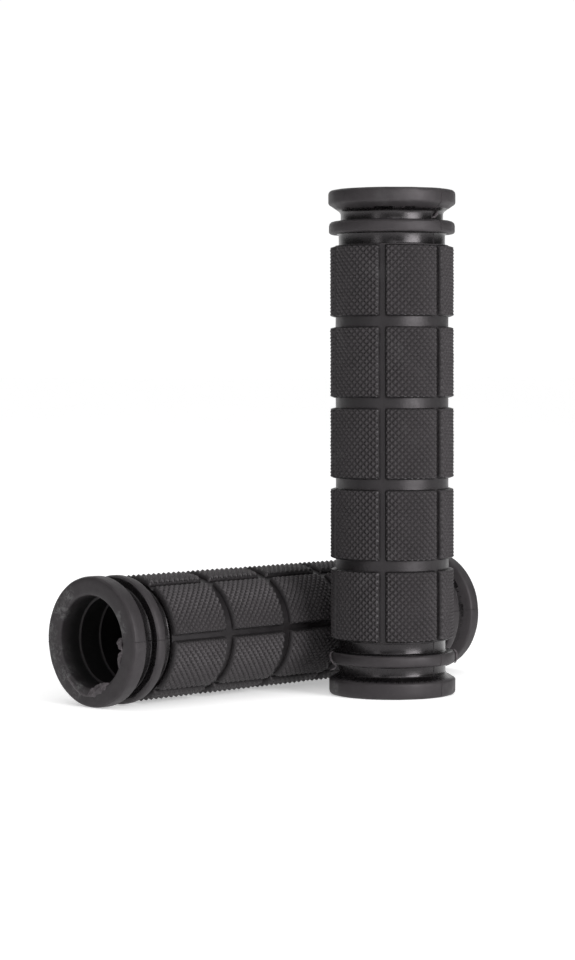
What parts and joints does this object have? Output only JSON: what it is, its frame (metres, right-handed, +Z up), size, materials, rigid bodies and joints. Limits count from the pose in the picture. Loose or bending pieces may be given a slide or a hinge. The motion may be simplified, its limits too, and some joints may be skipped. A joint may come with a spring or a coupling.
{
  "type": "pair of slip-on handlebar grips",
  "caption": "Pair of black rubber slip-on handlebar grips with end flanges, thin rings and rows of raised knurled pads, one standing and one lying behind it.",
  "frame": {"origin": "on the surface that the pair rests on, under the middle of the pair", "axes": "+Z up; +X along the lying grip, from its open mouth to its closed end; -Y from the lying grip towards the standing grip"},
  "size_m": [0.125, 0.0634, 0.125],
  "materials": {
    "rubber": "satin black, finely knurled on the pads, smooth in the grooves"
  },
  "bodies": {
    "standing_grip": {"standing_grip": "rubber"},
    "lying_grip": {"lying_grip": "rubber"}
  },
  "joints": [
    {"name": "lying_grip_lift", "type": "slide", "parent": "standing_grip", "child": "lying_grip", "axis": [0, 0, 1], "range_m": [0, 0.15]}
  ]
}
